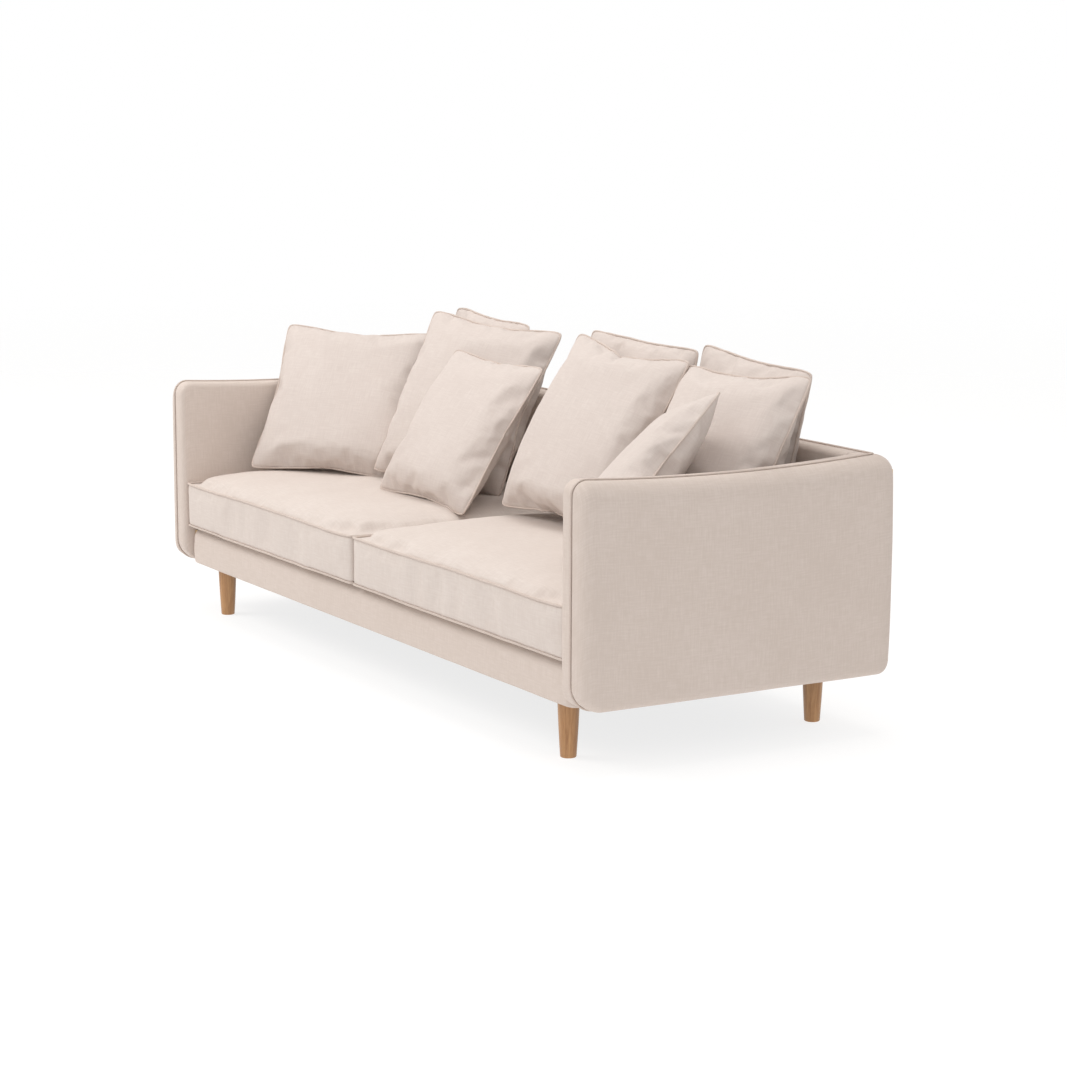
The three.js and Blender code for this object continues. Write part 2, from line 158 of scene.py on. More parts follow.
def woven(name, light, dark, thread=2.6, relief=0.35, slub=1.0):
    """Plain-weave cloth from slubby yarn, on the piece's own UV map, which is in metres.
    The real threads are about 0.9 mm apart, too fine to show, so they are drawn `thread` mm apart.
    The yarns' slubs, the weave and a slow wash of dye each take a share of the shade."""
    material, tree, surface = new_material(name, 0.92, Sheen_Weight=0.25, Sheen_Roughness=0.45)
    surface.inputs["Specular IOR Level"].default_value = 0.25
    surface.inputs["Sheen Tint"].default_value = linear(light)
    place = add(tree, "ShaderNodeUVMap", uv_map="UVMap").outputs[0]
    yarns = []
    for angle in (0, math.pi / 2):
        turned = add(tree, "ShaderNodeMapping", {0: place, "Rotation": (0, 0, angle)}).outputs[0]
        bands = add(tree, "ShaderNodeTexWave", {
            0: turned, "Scale": math.pi / 10 / (thread * MM), "Distortion": 1.6,
            "Detail": 1.5, "Detail Scale": 0.8}, bands_direction="X").outputs["Fac"]
        stretched = add(tree, "ShaderNodeMapping", {0: turned, "Scale": SLUBS_PER_METRE}).outputs[0]
        slubs = add(tree, "ShaderNodeTexNoise", {0: stretched, "Scale": 1, "Detail": 3, "Roughness": 0.6})
        yarns.append((bands, slubs.outputs["Fac"]))
    weave = add(tree, "ShaderNodeMath", {0: yarns[0][0], 1: yarns[1][0]}, operation="MULTIPLY").outputs[0]
    slubs = add(tree, "ShaderNodeMath", {0: yarns[0][1], 1: yarns[1][1]}, operation="ADD").outputs[0]
    wash = add(tree, "ShaderNodeTexNoise", {
        0: add(tree, "ShaderNodeTexCoord").outputs["Object"], "Scale": 7, "Detail": 3}).outputs["Fac"]
    shade = add(tree, "ShaderNodeMath", {0: weave, 1: WEAVE_SHARE}, operation="MULTIPLY").outputs[0]
    for part, share in ((slubs, SLUB_SHARE * slub), (wash, WASH_SHARE)):
        shade = add(tree, "ShaderNodeMath", {0: part, 1: share, 2: shade},
                    operation="MULTIPLY_ADD").outputs[0]
    darkest, lightest = 0.45 * (1 + slub), 0.75 * (1 + slub)
    spread = add(tree, "ShaderNodeMapRange", {0: shade, 1: darkest, 2: lightest}).outputs[0]
    tree.links.new(blend_colours(tree, spread, dark, light), surface.inputs["Base Color"])
    height = add(tree, "ShaderNodeMath", {0: slubs, 1: 0.6, 2: weave}, operation="MULTIPLY_ADD").outputs[0]
    bump = add(tree, "ShaderNodeBump", {"Height": height, "Strength": relief, "Distance": 0.5 * MM})
    tree.links.new(bump.outputs[0], surface.inputs["Normal"])
    return material


def grained(name, light, dark, roughness, ring, streak, coat=0.0, along="Z"):
    """Wood with its grain along one axis: growth rings `ring` mm apart and fine pores `streak` mm wide."""
    material, tree, surface = new_material(name, roughness, Coat_Weight=coat, Coat_Roughness=0.25)
    place = add(tree, "ShaderNodeTexCoord").outputs["Object"]
    squeeze = {"X": (0.06, 1, 1), "Y": (1, 0.06, 1), "Z": (1, 1, 0.06)}[along]
    stretched = add(tree, "ShaderNodeMapping", {0: place, "Scale": squeeze}).outputs[0]
    rings = add(tree, "ShaderNodeTexNoise", {
        0: stretched, "Scale": 1 / (ring * MM), "Detail": 2, "Distortion": 0.6}).outputs["Fac"]
    pores = add(tree, "ShaderNodeTexNoise", {
        0: stretched, "Scale": 1 / (streak * MM), "Detail": 2}).outputs["Fac"]
    shade = add(tree, "ShaderNodeMath", {0: pores, 1: 0.45, 2: rings}, operation="MULTIPLY_ADD").outputs[0]
    spread = add(tree, "ShaderNodeMapRange", {0: shade, 1: 0.5, 2: 0.95}).outputs[0]
    tree.links.new(blend_colours(tree, spread, dark, light), surface.inputs["Base Color"])
    bump = add(tree, "ShaderNodeBump", {"Height": pores, "Strength": 0.2, "Distance": 0.2 * MM})
    tree.links.new(bump.outputs[0], surface.inputs["Normal"])
    return material


def speckled(name, light, dark, roughness, grit, metallic=0.0):
    """A surface with a fine mottle `grit` mm across: pressed board, zinc plate or oiled wire."""
    material, tree, surface = new_material(name, roughness, Metallic=metallic)
    place = add(tree, "ShaderNodeTexCoord").outputs["Object"]
    mottle = add(tree, "ShaderNodeTexNoise", {
        0: place, "Scale": 1 / (grit * MM), "Detail": 4}).outputs["Fac"]
    tree.links.new(blend_colours(tree, mottle, dark, light), surface.inputs["Base Color"])
    bump = add(tree, "ShaderNodeBump", {"Height": mottle, "Strength": 0.15, "Distance": 0.2 * MM})
    tree.links.new(bump.outputs[0], surface.inputs["Normal"])
    return material


# Washed cotton and linen in a warm pinkish beige, woven plain: matt and slightly slubby, with a soft bloom
# at grazing angles. One cloth in three copies: the frame's and the pillows' are painted a little darker than
# the loose cushions', as painted shade.
UPHOLSTERY_LINEN_SHADED = woven("washed_linen_upholstery_painted_shade", "#dccfc7", "#cfc1b7", relief=0.3)
CUSHION_LINEN = woven("washed_linen_cushion", "#ded4cd", "#d2c6be")
PILLOW_LINEN_SHADED = woven("washed_linen_pillow_painted_shade", "#dad0c9", "#cec2bb", relief=0.3)
# The same cloth cut on the bias and pulled tight round a cord, with closer threads; painted a shade darker
# than the covers, as painted shade of the crease along the seam.
PIPING_LINEN_SHADED = woven("washed_linen_piping_painted_shade", "#d8cbc2", "#c9bab0", thread=2.0)
# Thin plain cotton lining, smooth and flat in colour.
LINING = woven("cotton_lining", "#d0c9c0", "#bfb7ad", thread=2.0, slub=0.4)
# Black spun-bonded cloth: thin and dull, with a faint grid.
DUST_CLOTH = woven("black_spunbond", "#262626", "#161616", thread=3.0, slub=0.5)
# Turned beech under a clear satin lacquer: warm, with fine pores along the grain and a soft highlight.
BEECH = grained("lacquered_beech", "#be8f5f", "#9c6d41", 0.42, ring=9, streak=1.1, coat=0.25)
# Sawn pine, left bare: pale yellow and dry, with broad rings along each timber's own length.
PINE = {axis: grained(f"sawn_pine_{axis.lower()}", "#dcc294", "#c2a069", 0.8, ring=14, streak=2, along=axis)
        for axis in "XYZ"}
# Pressed wood fibre: brown, matt and finely mottled.
HARDBOARD = speckled("brown_hardboard", "#8f6a47", "#6d4d31", 0.8, grit=3)
# Steel with a thin zinc plating: light grey with faint crystals and a half-bright shine.
ZINC = speckled("zinc_plated_steel", "#a9adb1", "#8b9095", 0.35, grit=1.5, metallic=1.0)
# Hardened steel wire with a film of oil: dark grey and softly shiny.
SPRING_WIRE = speckled("oil_tempered_wire", "#5c6064", "#3d4043", 0.42, grit=2, metallic=1.0)


# ---- meshes ----
def new_piece(name, bm, material):
    """Makes a smooth-shaded object from a bmesh, which it frees."""
    for face in bm.faces:
        face.smooth = True
    mesh = bpy.data.meshes.new(name)
    bm.to_mesh(mesh)
    bm.free()
    mesh.materials.append(material)
    piece = bpy.data.objects.new(name, mesh)
    bpy.context.scene.collection.objects.link(piece)
    return piece


def baked(piece):
    """Replaces a piece's mesh with the evaluated one and drops its modifiers."""
    graph = bpy.context.evaluated_depsgraph_get()
    mesh = bpy.data.meshes.new_from_object(piece.evaluated_get(graph))
    piece.modifiers.clear()
    piece.data = mesh
    return piece


def subdivide(piece):
    modifier = piece.modifiers.new("fine", "SUBSURF")
    modifier.levels = modifier.render_levels = 1
    return baked(piece)


def quad(bm, layer, corners):
    """A face from (vertex, uv) corners; corners on one vertex are dropped."""
    kept = [c for i, c in enumerate(corners) if c[0] is not corners[i - 1][0]]
    if len(kept) < 3:
        return
    face = bm.faces.new([vertex for vertex, _ in kept])
    for loop, (_, uv) in zip(face.loops, kept):
        loop[layer].uv = uv


def grid_faces(bm, layer, rows):
    """Faces between neighbouring rows of (vertex, uv)."""
    for row, following in zip(rows, rows[1:]):
        for j in range(len(row) - 1):
            quad(bm, layer, [row[j], row[j + 1], following[j + 1], following[j]])


def ripple(place, size, depth):
    """Slow unevenness of stretched cloth over padding."""
    return depth * noise.noise(place / size)


# ---- piping, swept along a path by geometry nodes ----
def piping_tree():
    """Sweeps a round cord along the mesh's edges, with a UV map in metres."""
    tree = bpy.data.node_groups.new("covered_piping", "GeometryNodeTree")
    face = tree.interface
    face.new_socket("Geometry", in_out="INPUT", socket_type="NodeSocketGeometry")
    for name, kind in (("Radius", "NodeSocketFloat"), ("Sides", "NodeSocketInt"),
                       ("Cloth", "NodeSocketMaterial")):
        face.new_socket(name, in_out="INPUT", socket_type=kind)
    face.new_socket("Geometry", in_out="OUTPUT", socket_type="NodeSocketGeometry")
    given = add(tree, "NodeGroupInput").outputs
    path = add(tree, "GeometryNodeMeshToCurve", {0: given["Geometry"]}).outputs[0]
    around = add(tree, "GeometryNodeCurvePrimitiveCircle", {
        "Resolution": given["Sides"], "Radius": given["Radius"]}).outputs[0]
    lengths = []
    for curve in (path, around):
        at = add(tree, "GeometryNodeSplineParameter").outputs["Length"]
        held = add(tree, "GeometryNodeCaptureAttribute", {0: curve})
        held.capture_items.new("FLOAT", "Length")
        tree.links.new(at, held.inputs[1])
        lengths.append(held)
    swept = add(tree, "GeometryNodeCurveToMesh", {
        0: lengths[0].outputs[0], 1: lengths[1].outputs[0], "Fill Caps": True}).outputs[0]
    place = add(tree, "ShaderNodeCombineXYZ", {
        0: lengths[0].outputs[1], 1: lengths[1].outputs[1]}).outputs[0]
    mapped = add(tree, "GeometryNodeStoreNamedAttribute", {0: swept, "Name": "UVMap", "Value": place},
                 data_type="FLOAT2", domain="CORNER").outputs[0]
    shaded = add(tree, "GeometryNodeSetShadeSmooth", {0: mapped}).outputs[0]
    real = add(tree, "GeometryNodeRealizeInstances", {0: shaded}).outputs[0]
    dressed = add(tree, "GeometryNodeSetMaterial", {0: real, "Material": given["Cloth"]}).outputs[0]
    add(tree, "NodeGroupOutput", {0: dressed})
    return tree


PIPING = piping_tree()


def piping(name, paths, radius=CORD, sides=10):
    """A piece of covered cord along each path, given as (points, closed)."""
    mesh = bpy.data.meshes.new(name)
    points, edges = [], []
    for line, closed in paths:
        start = len(points)
        points += line
        edges += [(start + i, start + i + 1) for i in range(len(line) - 1)]
        if closed:
            edges.append((len(points) - 1, start))
    mesh.from_pydata(points, edges, [])
    piece = bpy.data.objects.new(name, mesh)
    bpy.context.scene.collection.objects.link(piece)
    modifier = piece.modifiers.new("cord", "NODES")
    modifier.node_group = PIPING
    inputs = {item.name: item.identifier for item in PIPING.interface.items_tree if item.in_out == "INPUT"}
    modifier[inputs["Radius"]] = radius
    modifier[inputs["Sides"]] = sides
    modifier[inputs["Cloth"]] = PIPING_LINEN_SHADED
    return baked(piece)


def evened(line, step, closed):
    """Points about `step` apart along a line."""
    line = [Vector(p) for p in line]
    if closed:
        line.append(line[0])
    lengths = [0.0]
    for a, b in zip(line, line[1:]):
        lengths.append(lengths[-1] + (b - a).length)
    count = max(3, round(lengths[-1] / step))
    points, at = [], 0
    for k in range(count if closed else count + 1):
        wanted = lengths[-1] * k / count
        while lengths[at + 1] < wanted - 1e-9:
            at += 1
        share = (wanted - lengths[at]) / max(lengths[at + 1] - lengths[at], 1e-9)
        points.append(line[at].lerp(line[at + 1], share))
    return points


# ---- arms and back: one sweep of a padded section round the frame, cut into its three covers ----
WELT_TAIL = 95 * MM  # how far the welt runs back under each arm
RISE_STEPS, BACK_STEPS = 60, 150  # points of the welt up an arm's front and along the back
ROLL_STEPS = [0, 1.5, 3, 4.5, 6.5, 9, 12, 16, 21, 27, 34, 42, 50, 59, 68, 78.54]  # mm along the outside roll
INNER_STEPS = [0, 1.5, 3, 4.5, 6.5, 9, 13, 18, 24, 30]  # mm along the flat inside the welt
WALL_ROWS, FOOT_ROWS, INNER_CURVE_ROWS = 24, 6, len(ROLL_STEPS) - len(INNER_STEPS)
INNER_CURVE_CLOTH = 4.2 * MM  # cloth taken up by each row of the inner roll
ARM_COLUMNS, CORNER_COLUMNS, BACK_COLUMNS = 26, 12, 74


def section(top, bottom, foot):
    """Outside and inside halves of the section, from the welt down and in under: (out, up, cloth length)."""
    outside = []
    for step in ROLL_STEPS:
        angle = step * MM / OUTER_ROLL
        outside.append((OUTER_ROLL * math.sin(angle), top - OUTER_ROLL * (1 - math.cos(angle)), step * MM))
    inside = [(-step * MM, top, step * MM) for step in INNER_STEPS]
    for k in range(1, INNER_CURVE_ROWS + 1):
        angle = math.pi / 2 * k / INNER_CURVE_ROWS
        out = -(INSIDE - INNER_ROLL) - INNER_ROLL * math.sin(angle)
        up = top - INNER_ROLL * (1 - math.cos(angle))
        inside.append((out, up, inside[-1][2] + INNER_CURVE_CLOTH))
    for half, face, radius in ((outside, OUTER_ROLL, foot), (inside, -INSIDE, INNER_FOOT)):
        start, length = half[-1][1], half[-1][2]
        sign = math.copysign(1, face)
        drop = start - (bottom + radius)
        for k in range(1, WALL_ROWS + 1):
            t = k / WALL_ROWS
            swell = PUFF * math.sin(math.pi * t) ** 0.7 if t < 1 else 0
            half.append((face + sign * swell, start - drop * t, length + drop * t))
        for k in range(1, FOOT_ROWS + 1):
            angle = math.pi / 2 * k / FOOT_ROWS
            out = face - sign * radius * (1 - math.cos(angle))
            half.append((out, bottom + radius * (1 - math.sin(angle)), length + drop + radius * angle))
        edge = abs(half[-1][0])
        for share in (0.5, 0.0):
            half.append((sign * edge * share, bottom, half[-1][2] + edge * 0.5))
    return outside, inside


def arm_stations():
    """Along the right arm, front to rear corner: (y, outside share, inside share, top, bottom)."""
    angles = [0, 0.03, 0.06, 0.1, 0.15, 0.22, 0.3, 0.4, 0.52, 0.66, 0.82, 1.0, 1.2, 1.4, math.pi / 2]
    depths = [FRONT_ROLL * (1 - math.cos(angle)) for angle in angles]
    depths += [d * MM for d in (31, 35, 40, 46, 53, 60, 68, 78, 90, 105, 122)]
    last = WELT_Y - FRONT
    depths += [depths[-1] + (last - depths[-1]) * (k + 1) / ARM_COLUMNS for k in range(ARM_COLUMNS)]
    stations = []
    for depth in depths:
        middle = (depth - last / 2) / (last / 2)
        top = TOP - ARM_DIP * (1 - middle ** 2) - TOP_CORNER * (1 - quarter(depth / TOP_CORNER))
        bottom = BOTTOM + BOTTOM_CORNER * (1 - quarter(depth / BOTTOM_CORNER))
        tuck = 1 - INNER_ROLL / INSIDE * (1 - quarter(depth / INNER_ROLL))
        stations.append((FRONT + depth, quarter(depth / FRONT_ROLL), tuck, top, bottom))
    return stations


def tub_columns():
    """Each station's outside and inside points, with their places in the cloth."""
    columns = []
    back_xs = [WELT_X - (WELT_X - ARM_LOW.x) * k / 3 for k in range(1, 4)]
    back_xs += [back_xs[-1] * (1 - 2 * k / BACK_COLUMNS) for k in range(1, BACK_COLUMNS)]
    back_xs += [-x for x in reversed(back_xs[:3])]

    def column(outline, run, out_point, in_point):
        outside, inside = outline
        columns.append(([(out_point(out, up), (run, -length)) for out, up, length in outside],
                        [(in_point(out, up), (run, length)) for out, up, length in inside]))

    arm = arm_stations()
    reach = WELT_Y - FRONT

    def arm_column(side, station, run):
        y, wide, tuck, top, bottom = station

        def in_point(out, up):
            return Vector((side * (WELT_X + out * tuck), FRONT + (y - FRONT) * (reach + out) / reach, up))

        column(section(top, bottom, ARM_FOOT), run,
               lambda out, up: Vector((side * (WELT_X + out * wide), y, up)), in_point)

    def corner_column(side, angle, run):
        foot = ARM_FOOT + (BACK_FOOT - ARM_FOOT) * smooth(angle / (math.pi / 2))

        def out_point(out, up):
            return Vector((side * (WELT_X + out * math.cos(angle)), WELT_Y + out * math.sin(angle), up))

        column(section(TOP, BOTTOM, foot), run, out_point,
               lambda out, up: Vector((side * (WELT_X + out), WELT_Y + out, up)))

    for station in arm:
        arm_column(1, station, station[0])
    for k in range(1, CORNER_COLUMNS + 1):
        angle = math.pi / 2 * k / CORNER_COLUMNS
        corner_column(1, angle, WELT_Y + angle * OUTER_ROLL)
    turned = WELT_Y + OUTER_ROLL * math.pi / 2
    for x in back_xs:
        column(section(TOP, BOTTOM, BACK_FOOT), turned + WELT_X - x,
               lambda out, up, x=x: Vector((x, WELT_Y + out, up)),
               lambda out, up, x=x: Vector((x * (WELT_X + out) / WELT_X, WELT_Y + out, up)))
    far = turned + 2 * WELT_X
    for k in range(CORNER_COLUMNS, 0, -1):
        angle = math.pi / 2 * k / CORNER_COLUMNS
        corner_column(-1, angle, far + (math.pi / 2 - angle) * OUTER_ROLL)
    for station in reversed(arm):
        arm_column(-1, station, far + OUTER_ROLL * math.pi / 2 + WELT_Y - station[0])
    return columns


def welt_line():
    """The line of the welt: under one arm, up its front, round the back and down the other arm."""
    arm = arm_stations()
    under = [(y, bottom) for y, _, _, _, bottom in arm if y < FRONT + WELT_TAIL]
    over = [(y, top) for y, _, _, top, _ in arm]
    low, high = under[0][1], over[0][1]
    rise = [(FRONT, low + (high - low) * k / RISE_STEPS) for k in range(1, RISE_STEPS)]
    side = [*reversed(under), *rise, *over]
    right = [Vector((WELT_X, y, z)) for y, z in side]
    back = [Vector((WELT_X * (1 - 2 * k / BACK_STEPS), WELT_Y, TOP)) for k in range(1, BACK_STEPS)]
    return right + back + [Vector((-p.x, p.y, p.z)) for p in reversed(right)]


def raised_welt(point):
    """The cord stands a little out of the seam, away from the middle of the padding."""
    side = math.copysign(1, point.x)
    core = Vector((point.x, max(point.y, FRONT + BOTTOM_CORNER), 0))
    core.z = min(max(point.z, BOTTOM + BOTTOM_CORNER), TOP - BOTTOM_CORNER)
    if point.y > FRONT + BOTTOM_CORNER and point.z > TOP - BOTTOM_CORNER:
        away = Vector((0, 0, 1))
    else:
        away = (point - core).normalized()
    wander = Vector((side * ripple(point, 90 * MM, 0.8 * MM), 0, 0))
    return point + CORD_RISE * away + wander


ARM_FRONT_SHARES = [0, 0.05, 0.1, 0.15, 0.22, 0.31, 0.45, 0.62, 0.81, 1]  # from the welt to the seat side
WELT_STEP = 4 * MM


def make_tub():
    """The padded arms and back as one skin, dipped along its welt and cut into the three covers."""
    bm = bmesh.new()
    layer = bm.loops.layers.uv.new("UVMap")
    columns = tub_columns()
    made = [([(bm.verts.new(p), uv) for p, uv in outside], [(bm.verts.new(p), uv) for p, uv in inside])
            for outside, inside in columns]
    grid_faces(bm, layer, [outside for outside, _ in reversed(made)])
    grid_faces(bm, layer, [inside for _, inside in made])
    # The narrow front of each arm, between the welt and the seat side.
    for (outside, inside), first in ((made[0], True), (made[-1], False)):
        rows = []
        for (a, _), (b, _) in zip(outside, inside):
            row = []
            for share in ARM_FRONT_SHARES:
                vertex = a if share == 0 else b if share == 1 else bm.verts.new(a.co.lerp(b.co, share))
                row.append((vertex, (vertex.co.x, vertex.co.z)))
            rows.append(row)
        grid_faces(bm, layer, rows if first else list(reversed(rows)))
    bmesh.ops.remove_doubles(bm, verts=bm.verts, dist=1e-5)
    bmesh.ops.dissolve_degenerate(bm, edges=bm.edges, dist=1e-6)
    bmesh.ops.recalc_face_normals(bm, faces=bm.faces)
    welt = evened(welt_line(), WELT_STEP, False)
    near = KDTree(len(welt))
    for i, point in enumerate(welt):
        near.insert(point, i)
    near.balance()
    bm.normal_update()
    moves = []
    for vertex in bm.verts:
        distance = near.find(vertex.co)[2]
        groove = GROOVE_DEPTH * math.exp(-(distance / GROOVE_WIDTH) ** 2)
        wave = ripple(vertex.co, 160 * MM, 1.0 * MM) * smooth(distance / (40 * MM))
        moves.append((wave - groove) * vertex.normal)
    for vertex, move in zip(bm.verts, moves):
        vertex.co += move
    # Three covers: the seams run down just inside the rear corners.
    seam = ARM_LOW.x - CORNER_SEAM
    covers = {"left_arm": [(-seam, -1)], "right_arm": [(seam, 1)], "back": [(seam, -1), (-seam, 1)]}
    for name, cuts in covers.items():
        part = bm.copy()
        for x, keep in cuts:
            geometry = part.verts[:] + part.edges[:] + part.faces[:]
            bmesh.ops.bisect_plane(part, geom=geometry, plane_co=(x, 0, 0), plane_no=(keep, 0, 0),
                                   clear_inner=True, dist=1e-6)
            rim = [edge for edge in part.edges if edge.is_boundary]
            bmesh.ops.holes_fill(part, edges=rim, sides=0)
        part.normal_update()
        piece = new_piece(name, part, UPHOLSTERY_LINEN_SHADED)
        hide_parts(f"{name}_cover")
        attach(piece, ROOT)
    bm.free()
    cord = piping("body_piping", [([raised_welt(p) for p in welt], False)])
    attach(cord, ROOT)


# ---- front rail: padded, with soft ends ----
RAIL_END_ROLL, RAIL_TOP_ROLL, RAIL_LOW_ROLL = 26 * MM, 32 * MM, 9 * MM
RAIL_END_STEPS, RAIL_COLUMNS = 9, 90
RAIL_LOW_STEPS, RAIL_WALL_STEPS, RAIL_TOP_STEPS = 8, 12, 10
RAIL_SWELL = 2 * MM
RAIL_SET_BACK, RAIL_SET_DOWN = 1.5 * MM, 2.5 * MM  # the panel's face inside its CAD solid, before it swells


def make_front_rail():
    """The rail's padded panel: its outline, repeated along the rail and drawn in at both ends."""
    low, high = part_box("front_rail_cover")
    bm = bmesh.new()
    layer = bm.loops.layers.uv.new("UVMap")
    half = high.x
    end_angles = [math.pi / 2 * k / RAIL_END_STEPS for k in range(RAIL_END_STEPS + 1)]
    xs = [half - RAIL_END_ROLL * (1 - math.cos(angle)) for angle in end_angles]
    xs += [xs[-1] * (1 - 2 * k / RAIL_COLUMNS) for k in range(1, RAIL_COLUMNS)]
    xs += [-x for x in reversed(xs[:RAIL_END_STEPS + 1])]
    rows = []
    for x in xs:
        pull = RAIL_END_ROLL * (1 - quarter((half - abs(x)) / RAIL_END_ROLL))
        front = low.y + RAIL_SET_BACK + 0.8 * pull
        top = high.z - RAIL_SET_DOWN - 0.3 * pull
        outline = []
        for k in range(RAIL_LOW_STEPS + 1):
            angle = math.pi / 2 * k / RAIL_LOW_STEPS
            outline.append((front + RAIL_LOW_ROLL * (1 - math.sin(angle)),
                            low.z + RAIL_LOW_ROLL * (1 - math.cos(angle))))
        base = outline[-1][1]
        wall = top - RAIL_TOP_ROLL - base
        for k in range(1, RAIL_WALL_STEPS):
            swell = RAIL_SWELL * math.sin(math.pi * k / RAIL_WALL_STEPS)
            outline.append((front - swell, base + wall * k / RAIL_WALL_STEPS))
        for k in range(RAIL_TOP_STEPS + 1):
            angle = math.pi / 2 * k / RAIL_TOP_STEPS
            outline.append((front + RAIL_TOP_ROLL * (1 - math.cos(angle)),
                            top - RAIL_TOP_ROLL * (1 - math.sin(angle))))
        outline += [(high.y - 6 * MM, top), (high.y, top), (high.y, low.z)]
        run, row = 0.0, []
        for i, (y, z) in enumerate(outline + outline[:1]):
            if i:
                run += math.dist((y, z), outline[i - 1])
            point = Vector((x, y, z))
            point.y += ripple(point, 130 * MM, 1.2 * MM)
            row.append((point, (x, run)))
        rows.append(row)
    made = []
    for row in rows:
        verts = [(bm.verts.new(point), uv) for point, uv in row[:-1]]
        made.append(verts + [(verts[0][0], row[-1][1])])
    grid_faces(bm, layer, made)
    for row in (made[0], made[-1]):
        face = bm.faces.new([vertex for vertex, _ in row[:-1]])
        for loop in face.loops:
            loop[layer].uv = (loop.vert.co.y, loop.vert.co.z)
    bmesh.ops.recalc_face_normals(bm, faces=bm.faces)
    piece = new_piece("front_rail_panel", bm, UPHOLSTERY_LINEN_SHADED)
    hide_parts("front_rail_cover")
    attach(piece, ROOT)


# ---- cloth ----
def blow_up(piece, fill_volume, firmness, stiffness, seam_shrink=0.0):
    """Sets up a piece's cloth: pressure towards a volume, and a seam drawn up by its stitching."""
    modifier = piece.modifiers.new("cloth", "CLOTH")
    cloth = modifier.settings
    cloth.quality = 6
    cloth.mass = 0.15
    cloth.tension_stiffness = 20
    cloth.compression_stiffness = 8
    cloth.shear_stiffness = 5
    cloth.bending_stiffness = stiffness
    cloth.tension_damping = cloth.compression_damping = 20
    cloth.shear_damping = 15
    cloth.bending_damping = 1.0
    cloth.air_damping = 4
    cloth.use_pressure = True
    cloth.uniform_pressure_force = 0
    cloth.use_pressure_volume = True
    cloth.target_volume = fill_volume
    cloth.pressure_factor = firmness
    cloth.effector_weights.gravity = 0
    if seam_shrink:
        cloth.vertex_group_shrink = "seam"
        cloth.shrink_min = 0
        cloth.shrink_max = seam_shrink
    modifier.collision_settings.use_collision = False
    modifier.point_cache.frame_start = 1
    modifier.point_cache.frame_end = SIM_FRAMES


def run_cloth(pieces, caps):
    """Runs every piece's cloth at once, then keeps the result with each point's move held to its cap."""
    starts = [[v.co.copy() for v in piece.data.vertices] for piece in pieces]
    scene = bpy.context.scene
    scene.frame_start, scene.frame_end = 1, SIM_FRAMES
    for number in range(1, SIM_FRAMES + 1):
        scene.frame_set(number)
    for piece, start, cap in zip(pieces, starts, caps):
        baked(piece)
        for vertex, before in zip(piece.data.vertices, start):
            move = vertex.co - before
            if move.length > cap:
                vertex.co = before + move * (cap / move.length)
    bpy.context.scene.frame_set(1)


def seam_group(piece, seam):
    piece.vertex_groups.new(name="seam").add(seam, 1.0, "REPLACE")


def finish_soft(piece, node):
    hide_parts(node)
    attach(piece, node)


# ---- seat cushions ----
SEAT_COLUMNS, SEAT_ROWS, BORDER_ROWS = 84, 62, 10
SEAT_SLACK = 7 * MM  # the form is sewn this much inside its place on each side
SEAT_DOME, SEAT_BELLY = 22 * MM, 3 * MM  # rise of the top panel and drop of the bottom one before filling
SEAT_FILLING = 1.12  # filled volume over the form's own
SEAT_INSETS = (3 * MM, 1 * MM)  # its settled seams inside the CAD box, across and from front to back
SEAT_MOVE, PILLOW_MOVE = 28 * MM, 150 * MM  # the furthest that filling moves a point of each


